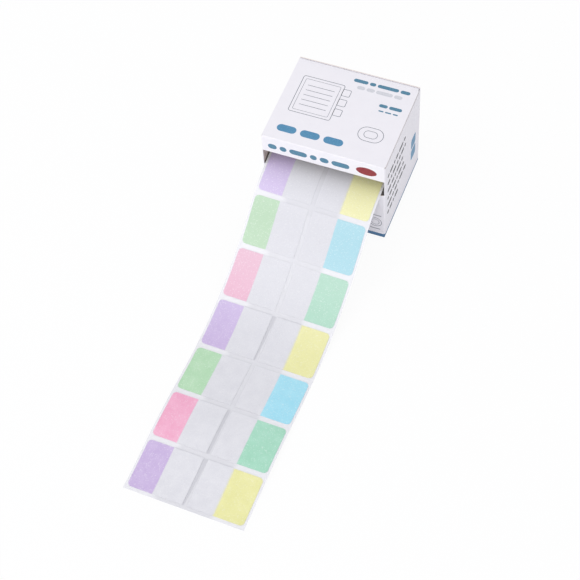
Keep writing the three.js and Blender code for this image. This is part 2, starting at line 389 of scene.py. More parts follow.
@dataclass(frozen=True)
class FoldedBoard(CoatedBoard):
    """The same board on the folded carton, with its bare inner side, cut edges and foot band.

    The inner side has no coating, so it is a dull warm grey. Cut edges at the slot and along
    the top of the back wall are a paler, pinkish pulp. A dark blue band is printed along the
    foot and runs round the corners, narrower on the side walls.
    """

    name: str = "folded_carton_board"
    inner: str = "d6cabf"
    cut: str = "e6d9d1"
    band: str = "3f6f97"
    band_high: float = 3.2
    band_low: float = 2.3
    fold_inset: float = 0.95
    half_width: float = 32.0
    half_depth: float = 27.0
    board: float = 0.45
    lid_seat: float = 55.78
    # Play of the tests against the board's own faces, how level a cut edge lies (1 is quite
    # level), and the height above which cut edges are looked for
    slack: float = 0.03
    level: float = 0.9
    edges_from: float = 30.0

    def inside(
        self, tree: bpy.types.NodeTree, value: bpy.types.NodeSocket, limit: float
    ) -> bpy.types.NodeSocket:
        """Test where a coordinate is nearer the middle than a limit.

        Args:
            tree: The material's tree.
            value: The coordinate.
            limit: The limit, in millimetres.

        Returns:
            1 where it is nearer and 0 elsewhere.
        """
        size = add_node(tree, "ShaderNodeMath", {"operation": "ABSOLUTE"}, in0=value)
        near = add_node(
            tree, "ShaderNodeMath", {"operation": "LESS_THAN"}, in0=size.outputs[0], in1=limit * MM
        )
        return near.outputs[0]

    def every(self, tree: bpy.types.NodeTree, *tests: bpy.types.NodeSocket) -> bpy.types.NodeSocket:
        """Join several tests into one.

        Args:
            tree: The material's tree.
            *tests: The tests, each 0 or 1.

        Returns:
            1 where all of them are 1.
        """
        joined = tests[0]
        for test in tests[1:]:
            step = add_node(tree, "ShaderNodeMath", {"operation": "MULTIPLY"}, in0=joined, in1=test)
            joined = step.outputs[0]
        return joined

    def surface_colour(
        self, tree: bpy.types.NodeTree, place: bpy.types.NodeSocket, tone: bpy.types.NodeSocket
    ) -> bpy.types.NodeSocket:
        """Lay the inner side's and the cut edges' colours over the coated one by place.

        Args:
            tree: The material's tree.
            place: Object coordinates.
            tone: Colour of the coated side.

        Returns:
            The colour of the whole board.
        """
        axes = add_node(tree, "ShaderNodeSeparateXYZ", Vector=place)
        facing = add_node(tree, "ShaderNodeNewGeometry").outputs["Normal"]
        lie = add_node(tree, "ShaderNodeSeparateXYZ", Vector=facing)
        wide = self.inside(tree, axes.outputs[0], self.half_width - self.board + self.slack)
        deep = self.inside(tree, axes.outputs[1], self.half_depth - self.board + self.slack)
        low = self.inside(tree, axes.outputs[2], self.lid_seat)
        upright = add_node(tree, "ShaderNodeMath", {"operation": "ABSOLUTE"}, in0=lie.outputs[2])
        over_base, raised, flat = (
            add_node(tree, "ShaderNodeMath", {"operation": "GREATER_THAN"}, in0=value, in1=limit).outputs[0]
            for value, limit in (
                (axes.outputs[2], (self.board - self.slack) * MM),
                (axes.outputs[2], self.edges_from * MM),
                (upright.outputs[0], self.level),
            )
        )
        in_wall = add_node(tree, "ShaderNodeMath", {"operation": "SUBTRACT"}, in0=1.0, in1=deep)
        bare = self.every(tree, wide, deep, low, over_base)
        colour = tone
        for share, over in (
            (bare, self.inner),
            (self.every(tree, flat, in_wall.outputs[0], raised), self.cut),
            (self.foot(tree, axes, bare), self.band),
        ):
            laid = add_node(
                tree, "ShaderNodeMix", {"data_type": "RGBA"}, in0=share, in6=colour, in7=linear(over)
            )
            colour = laid.outputs[2]
        return colour

    def foot(
        self, tree: bpy.types.NodeTree, axes: bpy.types.Node, bare: bpy.types.NodeSocket
    ) -> bpy.types.NodeSocket:
        """Find the printed band, which leaves out the base and the inner side.

        Args:
            tree: The material's tree.
            axes: The node that splits the object coordinates.
            bare: 1 on the inner side.

        Returns:
            1 on the band and 0 elsewhere.
        """
        core_x = self.inside(tree, axes.outputs[0], self.half_width - self.fold_inset)
        core_y = self.inside(tree, axes.outputs[1], self.half_depth - self.fold_inset)
        off_base, outer_side, front_or_back = (
            add_node(tree, "ShaderNodeMath", {"operation": "SUBTRACT"}, in0=1.0, in1=test).outputs[0]
            for test in (self.every(tree, core_x, core_y), bare, core_y)
        )
        high = self.every(tree, front_or_back, self.inside(tree, axes.outputs[2], self.band_high))
        low = self.inside(tree, axes.outputs[2], self.band_low)
        tall = add_node(tree, "ShaderNodeMath", {"operation": "MAXIMUM"}, in0=high, in1=low)
        return self.every(tree, tall.outputs[0], off_base, outer_side)


@dataclass(frozen=True)
class BareBoard(CoatedBoard):
    """The uncoated inner side of the board, a dull warm grey with loose fibres."""

    name: str = "bare_carton_board"
    face: str = "dad0c6"
    mottle: str = "cfc4b9"
    roughness: float = 0.85


@dataclass(frozen=True)
class CutBoardEdge:
    """The die-cut edge of the same board, where its pale grey-brown pulp core shows.

    It is duller and warmer than the coated face, with short fibres along the cut, which are
    drawn at 0.5 mm so that they show.
    """

    name: str = "cut_board_edge"
    core: str = "e4dcd6"
    fibre: str = "d3c9c0"
    fibre_mm: float = 0.5
    roughness: float = 0.9
    relief: float = 0.4
    depth_mm: float = 0.06
    ior: float = 1.45

    def make(self) -> bpy.types.Material:
        """Build the material.

        Returns:
            The material.
        """
        material, tree = new_material(self.name)
        place = add_node(tree, "ShaderNodeTexCoord").outputs["Object"]
        grain, tone = mottled(tree, place, self.fibre_mm, 5.0, (self.core, self.fibre))
        bump = add_node(
            tree, "ShaderNodeBump", Strength=self.relief, Distance=self.depth_mm * MM, Height=grain
        )
        skin = add_node(
            tree, "ShaderNodeBsdfPrincipled", Base_Color=tone, Roughness=self.roughness,
            Normal=bump.outputs[0], IOR=self.ior,
        )
        add_node(tree, "ShaderNodeOutputMaterial", Surface=skin.outputs[0])
        return material


@dataclass(frozen=True)
class PrintingInk:
    """Offset ink on the coated board, thin and a little uneven where the dots didn't join.

    The gaps between the dots are finer in life, and drawn at 0.7 mm so that they show.
    """

    name: str
    colour: str
    thin: str
    dot_mm: float = 0.7
    roughness: float = 0.45
    thin_from: float = 0.5
    thin_full: float = 0.75
    ior: float = 1.5

    def make(self) -> bpy.types.Material:
        """Build the material.

        Returns:
            The material.
        """
        material, tree = new_material(self.name)
        place = add_node(tree, "ShaderNodeTexCoord").outputs["Object"]
        dots = add_node(tree, "ShaderNodeTexNoise", Vector=place, Scale=1 / (self.dot_mm * MM), Detail=3.0)
        thick = add_node(
            tree, "ShaderNodeMapRange", Value=dots.outputs["Fac"],
            From_Min=self.thin_from, From_Max=self.thin_full,
        )
        tone = add_node(
            tree, "ShaderNodeMix", {"data_type": "RGBA"},
            in0=thick.outputs[0], in6=linear(self.colour), in7=linear(self.thin),
        )
        skin = add_node(
            tree, "ShaderNodeBsdfPrincipled", Base_Color=tone.outputs[2],
            Roughness=self.roughness, IOR=self.ior,
        )
        add_node(tree, "ShaderNodeOutputMaterial", Surface=skin.outputs[0])
        return material


@dataclass(frozen=True)
class ReleaseLiner:
    """Frosted polyester film with a silicone coat, from which the tabs peel.

    It is pale and a little see-through, with a soft gloss. Its frost is finer in life, and
    drawn at 0.4 mm so that it shows.
    """

    name: str = "frosted_release_film"
    face: str = "eaeaef"
    haze: str = "e4e4ea"
    margin: str = "f4f4f8"
    margin_from: float = 13.0
    margin_to: float = 15.5
    haze_mm: float = 9.0
    see_through: float = 0.22
    roughness: float = 0.4
    frost_mm: float = 0.4
    frost_relief: float = 0.1
    frost_depth_mm: float = 0.03
    ior: float = 1.57

    def make(self, skew: float, pivot_y: float) -> bpy.types.Material:
        """Build the material.

        Args:
            skew: How far the strip is turned, in radians.
            pivot_y: Where on the middle line it turns, in metres.

        Returns:
            The material.
        """
        material, tree = new_material(self.name)
        place = add_node(tree, "ShaderNodeTexCoord").outputs["Object"]
        across = across_strip(tree, place, skew, pivot_y)
        out = add_node(tree, "ShaderNodeMath", {"operation": "ABSOLUTE"}, in0=across)
        outer = add_node(
            tree, "ShaderNodeMapRange", Value=out.outputs[0],
            From_Min=self.margin_from * MM, From_Max=self.margin_to * MM,
        )
        tone = mottled(tree, place, self.haze_mm, 3.0, (self.face, self.haze))[1]
        paler = add_node(
            tree, "ShaderNodeMix", {"data_type": "RGBA"},
            in0=outer.outputs[0], in6=tone, in7=linear(self.margin),
        )
        frost = add_node(tree, "ShaderNodeTexNoise", Vector=place, Scale=1 / (self.frost_mm * MM), Detail=2.0)
        bump = add_node(
            tree, "ShaderNodeBump", Strength=self.frost_relief, Distance=self.frost_depth_mm * MM,
            Height=frost.outputs["Fac"],
        )
        skin = add_node(
            tree, "ShaderNodeBsdfPrincipled", Base_Color=paler.outputs[2], Roughness=self.roughness,
            Normal=bump.outputs[0], IOR=self.ior,
        )
        end_see_through(tree, skin, self.see_through)
        return material


@dataclass(frozen=True)
class PaintedShadowStripe:
    """Painted shadow on the release film, beside sprung tab edges and behind some tabs, as film a little
    darker and duller than the rest.
    """

    name: str = "bare_release_film"
    face: str = "cdcdd3"
    haze: str = "c6c6cc"
    haze_mm: float = 2.5
    roughness: float = 0.5
    ior: float = 1.57

    def make(self) -> bpy.types.Material:
        """Build the material.

        Returns:
            The material.
        """
        material, tree = new_material(self.name)
        place = add_node(tree, "ShaderNodeTexCoord").outputs["Object"]
        tone = mottled(tree, place, self.haze_mm, 3.0, (self.face, self.haze))[1]
        skin = add_node(
            tree, "ShaderNodeBsdfPrincipled", Base_Color=tone, Roughness=self.roughness, IOR=self.ior
        )
        add_node(tree, "ShaderNodeOutputMaterial", Surface=skin.outputs[0])
        return material


class Side(Enum):
    """Side of the strip that a tab is on, as seen from the front."""

    LEFT = -1
    RIGHT = 1


@dataclass(frozen=True)
class PearlTab:
    """Pearlised polyester sticker, coloured at its outer end and frosted clear elsewhere.

    Mica flakes in the coat glint, and their glints are painted as small white specks, with some darker
    specks, over a milky tint. The rows near the carton get painted sheen and shade. The flakes are finer in
    life, and drawn at 0.4 mm so that they show in the render.
    """

    name: str
    colour: str
    deep: str
    side: Side
    inner_edge: float
    # pale is the painted sheen: the tint painted paler on the sloping rows near the carton
    pale: str
    edge_blur: float = 0.22
    clear: str = "ececf1"
    clear_deep: str = "e5e5eb"
    # Painted shade: the clear coat painted darker on those same rows
    clear_painted_shade: str = "e3e3e9"
    flake_mm: float = 0.4
    cloud_mm: float = 5.0
    # The painted sheen and shade fade in along y between these two places
    painted_light_full_y: float = -60.0
    painted_light_none_y: float = -135.0
    see_through: float = 0.12
    roughness: float = 0.36
    fuzz_mm: float = 0.5
    cloud_from: float = 0.3
    cloud_full: float = 0.7
    cloud_share: float = 0.5
    pool_share: float = 0.5
    # Painted glints: how many flakes are painted white, and how white
    glint_from: float = 0.84
    glint_share: float = 0.26
    dull_from: float = 0.8
    dull_share: float = 0.07
    dull_flake: str = "9c9ca8"
    flake_relief: float = 0.25
    flake_depth_mm: float = 0.03
    ior: float = 1.57

    def make(self, skew: float, pivot_y: float) -> bpy.types.Material:
        """Build the material.

        Args:
            skew: How far the strip is turned, in radians, so that the tint ends square to it.
            pivot_y: Where on the middle line it turns, in metres.

        Returns:
            The material.
        """
        material, tree = new_material(self.name)
        place = add_node(tree, "ShaderNodeTexCoord").outputs["Object"]
        across = across_strip(tree, place, skew, pivot_y)
        fuzz = add_node(tree, "ShaderNodeTexNoise", Vector=place, Scale=1 / (self.fuzz_mm * MM), Detail=1.0)
        wobble = add_node(
            tree, "ShaderNodeMath", {"operation": "MULTIPLY_ADD"},
            in0=fuzz.outputs["Fac"], in1=2 * self.edge_blur * MM, in2=across,
        )
        sign = self.side.value
        tinted = add_node(
            tree, "ShaderNodeMapRange", Value=wobble.outputs[0],
            From_Min=(sign * self.inner_edge - sign * self.edge_blur) * MM + self.edge_blur * MM,
            From_Max=(sign * self.inner_edge + sign * self.edge_blur) * MM + self.edge_blur * MM,
        )
        cloud = add_node(tree, "ShaderNodeTexNoise", Vector=place, Scale=1 / (self.cloud_mm * MM), Detail=4.0)
        shade = add_node(
            tree, "ShaderNodeMapRange", Value=cloud.outputs["Fac"],
            From_Min=self.cloud_from, From_Max=self.cloud_full,
        )
        soft_shade = add_node(
            tree, "ShaderNodeMath", {"operation": "MULTIPLY"}, in0=shade.outputs[0], in1=self.cloud_share
        )
        # Painted light: towards the carton the tint is painted paler as painted sheen, where the sloping rows
        # throw back more of the light, and the clear coat is painted darker there as painted shade
        length = add_node(tree, "ShaderNodeSeparateXYZ", Vector=place)
        painted_slope_light = add_node(
            tree, "ShaderNodeMapRange", Value=length.outputs[1],
            From_Min=self.painted_light_none_y * MM, From_Max=self.painted_light_full_y * MM,
        )
        # Ink pools in a thin darker line where the tint ends
        ending = add_node(
            tree, "ShaderNodeMapRange", Value=tinted.outputs[0],
            From_Min=1.0, From_Max=0.5, To_Max=self.pool_share,
        )
        # Painted glints: some flakes are painted as white specks in the colour, and some as darker specks
        flakes = add_node(
            tree, "ShaderNodeTexVoronoi", {"feature": "F1"}, Vector=place, Scale=1 / (self.flake_mm * MM)
        )
        chance = add_node(tree, "ShaderNodeSeparateColor", Color=flakes.outputs["Color"])
        painted_glint, dull = (
            add_node(
                tree, "ShaderNodeMapRange", Value=chance.outputs[i], From_Min=least, From_Max=1.0, To_Max=most
            )
            for i, least, most in (
                (0, self.glint_from, self.glint_share), (1, self.dull_from, self.dull_share),
            )
        )
        # The tint and the clear coat are each a ground with other colours over it
        coats = []
        for ground, *layers in (
            (self.colour, (soft_shade, self.deep), (painted_slope_light, self.pale), (ending, self.deep)),
            (self.clear, (shade, self.clear_deep), (painted_slope_light, self.clear_painted_shade)),
        ):
            colour = linear(ground)
            for share, over in layers:
                laid = add_node(
                    tree, "ShaderNodeMix", {"data_type": "RGBA"},
                    in0=share.outputs[0], in6=colour, in7=linear(over),
                )
                colour = laid.outputs[2]
            coats.append(colour)
        tint, colour = coats
        for share, over in ((tinted, tint), (painted_glint, (1, 1, 1, 1)), (dull, linear(self.dull_flake))):
            laid = add_node(
                tree, "ShaderNodeMix", {"data_type": "RGBA"}, in0=share.outputs[0], in6=colour, in7=over
            )
            colour = laid.outputs[2]
        bump = add_node(
            tree, "ShaderNodeBump", Strength=self.flake_relief, Distance=self.flake_depth_mm * MM,
            Height=chance.outputs[2],
        )
        skin = add_node(
            tree, "ShaderNodeBsdfPrincipled", Base_Color=colour, Roughness=self.roughness,
            Normal=bump.outputs[0], IOR=self.ior,
        )
        open_share = add_node(
            tree, "ShaderNodeMapRange", Value=tinted.outputs[0], To_Min=self.see_through, To_Max=0.0
        )
        end_see_through(tree, skin, open_share.outputs[0])
        return material


# The film's way


@dataclass(frozen=True)
class FilmRoute:
    """Way of the film from the roll over the sill and down to the table, as the part has it.

    Distances along it are counted from the sill and are negative inside the carton.
    """

    film: float = 0.12
    roll_radius: float = 19.5
    turn_pitch: float = 0.29
    roll_y: float = -5.80393
    roll_z: float = 20.4
    sill_y: float = -27.0
    sill_z: float = 35.22
    crest_radius: float = 61.0
    drape_slope: float = math.radians(37.5)
    ripple_height: float = 1.9
    row_pitch: float = 27.7
    row_behind_sill: float = 10.6
    end: float = 182.4
    skew: float = math.radians(1.5)

    def slope_at_sill(self) -> float:
        """Downward slope of the straight run from the roll to the sill, in radians."""
        rise, run = self.sill_z - self.roll_z, self.roll_y - self.sill_y
        return math.asin(self.roll_radius / math.hypot(run, rise)) - math.atan2(rise, run)

    def lead(self) -> float:
        """Length of the straight run from the roll to the sill."""
        return math.sqrt(
            (self.sill_z - self.roll_z) ** 2 + (self.roll_y - self.sill_y) ** 2 - self.roll_radius**2
        )

    def row_start(self, row: int) -> float:
        """Distance from the sill to the edge of a row's tabs that is nearest the roll."""
        return (row - 1) * self.row_pitch - self.row_behind_sill

    def at(self, distance: float) -> tuple[float, float, float]:
        """Find the film's upper side.

        Args:
            distance: Distance from the sill along the film.

        Returns:
            y and z in millimetres, and the downward slope in radians.
        """
        slope, lead = self.slope_at_sill(), self.lead()
        if distance < -lead:
            turned = (-lead - distance) / self.roll_radius
            radius = self.roll_radius - self.turn_pitch * turned / math.tau
            angle = math.pi / 2 + slope - turned
            return (
                self.roll_y + radius * math.cos(angle),
                self.roll_z + radius * math.sin(angle),
                slope - turned,
            )
        if distance < 0:
            return self.sill_y - distance * math.cos(slope), self.sill_z - distance * math.sin(slope), slope
        crest = self.crest_radius * (self.drape_slope - slope)
        if distance < crest:
            angle = slope + distance / self.crest_radius
            return (
                self.sill_y - self.crest_radius * (math.sin(angle) - math.sin(slope)),
                self.sill_z - self.crest_radius * (math.cos(slope) - math.cos(angle)),
                angle,
            )
        crest_y = self.sill_y - self.crest_radius * (math.sin(self.drape_slope) - math.sin(slope))
        crest_z = self.sill_z - self.crest_radius * (math.cos(slope) - math.cos(self.drape_slope))
        landing = (crest_z - self.film) / (1 - math.cos(self.drape_slope))
        landed = crest + landing * self.drape_slope
        if distance < landed:
            angle = self.drape_slope - (distance - crest) / landing
            return (
                crest_y - landing * (math.sin(self.drape_slope) - math.sin(angle)),
                crest_z - landing * (math.cos(angle) - math.cos(self.drape_slope)),
                angle,
            )
        ripple = self.end - landed
        phase = math.tau * (distance - landed) / ripple
        return (
            crest_y - landing * math.sin(self.drape_slope) - (distance - landed),
            self.film + self.ripple_height * (1 - math.cos(phase)) / 2,
            -math.atan(self.ripple_height * math.pi / ripple * math.sin(phase)),
        )

    def place(self, across: float, distance: float, height: float) -> Vector:
        """Find a point over the film in the part's frame.

        Args:
            across: Distance from the strip's middle line, to the right.
            distance: Distance from the sill along the film.
            height: Height over the film's upper side, square to it.

        Returns:
            The point in metres.
        """
        y, z, slope = self.at(distance)
        y, z = y - height * math.sin(slope), z + height * math.cos(slope)
        return Vector(
            (
                across * math.cos(self.skew) + (y - self.roll_y) * math.sin(self.skew),
                self.roll_y - across * math.sin(self.skew) + (y - self.roll_y) * math.cos(self.skew),
                z,
            )
        ) * MM


# Pieces


@dataclass
class Carton:
    """The folded carton, which keeps the mesh of the part's own solid."""

    finish: FoldedBoard = FoldedBoard()

    def build(self, nodes: dict[str, bpy.types.Object]) -> list[bpy.types.Object]:
        """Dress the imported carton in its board."""
        dress(nodes["carton"], self.finish.make())
        return [nodes["carton"]]


@dataclass
class TabStrip:
    """Release film with its tabs, two to a row."""

    route: FilmRoute
    width: float = 28.0
    length: float = 25.0
    thickness: float = 0.1
    seat: float = 0.05
    corner: float = 2.0
    half_gap: float = 1.2
    step: float = 1.25
    rows_out: int = 7
    wound_rows: int = 4
    curl_width: float = 7.0
    # Lines where a flat tab can bend, from its inner edge
    bends: tuple[float, ...] = (0.5, 1.5, 3.0, 4.5, 7.0, 14.0)
    corner_parts: int = 7
    tolerance: float = 0.01
    # How far the inner edge of a tab has sprung off the film at its near and far end
    curls: dict[str, tuple[float, float]] = field(
        default_factory=lambda: {
            "row_4_left": (0.04, 0.02), "row_6_left": (0.03, 0.03), "row_7_left": (0.04, 0.02),
        }
    )
    # Width of the painted shadow stripe beside a sprung edge, nearest the roll and furthest from it
    shadow_stripes: dict[int, tuple[float, float]] = field(
        default_factory=lambda: {4: (1.9, 0.7), 6: (1.5, 1.4), 7: (2.2, 0.8)}
    )
    # Ends of the thin painted shadow line behind a tab's edge nearest the roll, across the strip
    shadow_lines: dict[int, tuple[tuple[float, float], ...]] = field(
        default_factory=lambda: {
            4: ((-16.0, -1.4), (1.6, 13.5)), 6: ((-15.5, -1.4),), 7: ((-16.0, -1.4), (1.6, 13.0)),
        }
    )
    shadow_line_width: float = 0.32
    # Painted shadow patches: room to the tab beside or in front of them, and how they lie on the film
    shadow_stripe_inset: float = 0.05
    shadow_line_gap: float = 0.02
    shadow_height: float = 0.012
    shadow_thickness: float = 0.01
    finishes: dict[Side, tuple[PearlTab, ...]] = field(
        default_factory=lambda: {
            Side.LEFT: (
                PearlTab("pearl_tab_violet", "cdbae0", "b9a1d2", Side.LEFT, 16.36, "cebee3"),
                PearlTab("pearl_tab_green", "badfbb", "a3d2a6", Side.LEFT, 16.36, "b8d5b7"),
                PearlTab("pearl_tab_pink", "f3b4cf", "ea96ba", Side.LEFT, 16.36, "e1bacc"),
            ),
            Side.RIGHT: (
                PearlTab("pearl_tab_yellow", "ebe9a8", "dedc90", Side.RIGHT, 14.29, "eae8b0", 0.6),
                PearlTab("pearl_tab_blue", "a9e3f4", "8dd4ea", Side.RIGHT, 14.29, "a9d5e1"),
                PearlTab("pearl_tab_mint", "aaddc6", "8fcdae", Side.RIGHT, 14.29, "b1d6c3"),
            ),
        }
    )

    def build_film(self, nodes: dict[str, bpy.types.Object]) -> bpy.types.Object:
        """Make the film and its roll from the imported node, shaded as one smooth sheet.

        Args:
            nodes: The CAD nodes by name.

        Returns:
            The film.
        """
        film = merged_copy(nodes["release_film"], "film_sheet")
        dress(film, ReleaseLiner().make(self.route.skew, self.route.roll_y * MM))
        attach(film, CARTON_BODY)
        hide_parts("release_film")
        return film

    def lay_painted_shadow(
        self, name: str, finish: bpy.types.Material, near: tuple[float, float], far: tuple[float, float],
        reach: tuple[float, float],
    ) -> bpy.types.Object:
        """Model one patch of painted shadow on the film, as a thin darker sheet that follows it.

        Args:
            name: Name of the patch.
            finish: Its material.
            near: Where its end nearest the roll starts and stops, across the strip.
            far: The same for its other end.
            reach: Distances of the two ends from the sill.

        Returns:
            The patch.
        """
        bpy.ops.object.select_all(action="DESELECT")
        bpy.ops.mesh.primitive_plane_add(size=1, location=(0.5, 0.5, 0))
        patch = settle(bpy.context.object, name)
        bpy.ops.object.mode_set(mode="EDIT")
        parts = max(1, round((reach[1] - reach[0]) / self.step))
        for i in range(1, parts):
            cut_line((0, i / parts, 0), (0, 1, 0))
        bpy.ops.object.mode_set(mode="OBJECT")
        # The flat patch is one wide and one long, but its height is in millimetres already
        apply_modifier(patch, "SOLIDIFY", thickness=self.shadow_thickness, offset=1)
        for vertex in patch.data.vertices:
            side, along, up = vertex.co
            left, right = (near[i] * (1 - along) + far[i] * along for i in (0, 1))
            distance = reach[0] + (reach[1] - reach[0]) * along
            vertex.co = self.route.place(left + (right - left) * side, distance, self.shadow_height + up)
        turn_faces_out(patch)
        smooth(patch)
        dress(patch, finish)
        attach(patch, CARTON_BODY)
        return patch

    def build_painted_shadows(self) -> list[bpy.types.Object]:
        """Model painted shadow, as darker film, beside sprung edges and behind the near edge of some tabs.

        Returns:
            The patches.
        """
        # Painted shadow: darker film where the lifted tab edges and the tabs' near edges shade it
        finish = PaintedShadowStripe().make()
        pieces = []
        for row, widths in self.shadow_stripes.items():
            start = self.route.row_start(row)
            left = self.shadow_stripe_inset - self.half_gap
            ends = [(left, left + width) for width in widths]
            reach = (start, start + self.length)
            pieces.append(self.lay_painted_shadow(f"bare_stripe_row_{row}", finish, ends[0], ends[1], reach))
        for row, lines in self.shadow_lines.items():
            start = self.route.row_start(row)
            reach = (start - self.shadow_line_width, start - self.shadow_line_gap)
            for i, ends in enumerate(lines):
                pieces.append(self.lay_painted_shadow(f"bare_line_row_{row}_{i + 1}", finish, ends, ends, reach))
        return pieces

    def flat_tab(self, side: Side) -> bpy.types.Object:
        """Model one tab lying flat, with the strip's middle line as y.

        Args:
            side: Which side of the strip it is for.

        Returns:
            A thin sheet with two round outer corners and cross lines to bend at.
        """
        middle = side.value * (self.half_gap + self.width / 2)
        size = (self.width, self.length)
        tab = start_sheet(f"flat_tab_{side.name.lower()}", (middle, self.length / 2), size)
        bpy.ops.object.mode_set(mode="EDIT")
        edge = (self.half_gap + self.width - self.tolerance) * MM
        pick(tab, Element.VERTEX, lambda v: side.value * v.x > edge)
        bpy.ops.mesh.bevel(affect="VERTICES", offset=self.corner * MM, segments=self.corner_parts)
        for i in range(1, round(self.length / self.step)):
            cut_line((0, i * self.step * MM, 0), (0, 1, 0))
        for bend in self.bends:
            cut_line((side.value * (self.half_gap + bend) * MM, 0, 0), (1, 0, 0))
        bpy.ops.object.mode_set(mode="OBJECT")
        apply_modifier(tab, "SOLIDIFY", thickness=self.thickness * MM, offset=1)
        return tab

    def lay(self, tab: bpy.types.Object, start: float, side: Side, curl: tuple[float, float]) -> None:
        """Move a flat tab's corners on to the film, with its inner edge sprung up.

        Args:
            tab: A copy of the flat tab.
            start: Distance from the sill to the tab's edge nearest the roll.
            side: Which side of the strip it is on.
            curl: Height of its inner edge over its seat, nearest the roll and furthest from it.
        """
        for vertex in tab.data.vertices:
            across, along, up = (value / MM for value in vertex.co)
            inward = max(0.0, 1 - (side.value * across - self.half_gap) / self.curl_width)
            share = along / self.length
            lift = (curl[0] * (1 - share) + curl[1] * share) * inward**2
            vertex.co = self.route.place(across, start + along, self.seat + up + lift)
        tab.data.update()

    def build_tabs(self) -> list[bpy.types.Object]:
        """Copy, lay and dress each tab of the rows that show and of those on the roll.

        Returns:
            The tabs.
        """
        pivot = self.route.roll_y * MM
        finishes = {
            side: [finish.make(self.route.skew, pivot) for finish in group]
            for side, group in self.finishes.items()
        }
        pieces = []
        for side in Side:
            master = self.flat_tab(side)
            for row in range(1 - self.wound_rows, self.rows_out + 1):
                kind = (row + 3 * self.wound_rows - 1) % len(finishes[side])
                place = f"row_{row}" if row > 0 else f"wound_row_{1 - row}"
                label = f"{place}_{side.name.lower()}"
                tab = bpy.data.objects.new(f"sheet_{label}", master.data.copy())
                bpy.context.scene.collection.objects.link(tab)
                self.lay(tab, self.route.row_start(row), side, self.curls.get(label, (0.0, 0.0)))
                turn_faces_out(tab)
                smooth(tab)
                dress(tab, finishes[side][kind])
                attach(tab, CARTON_BODY)
                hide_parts(f"tab_{label}")
                pieces.append(tab)
            bpy.data.objects.remove(master)
        return pieces

    def build(self, nodes: dict[str, bpy.types.Object]) -> list[bpy.types.Object]:
        """Build the film, its tabs and its patches of painted shadow."""
        return [self.build_film(nodes), *self.build_tabs(), *self.build_painted_shadows()]


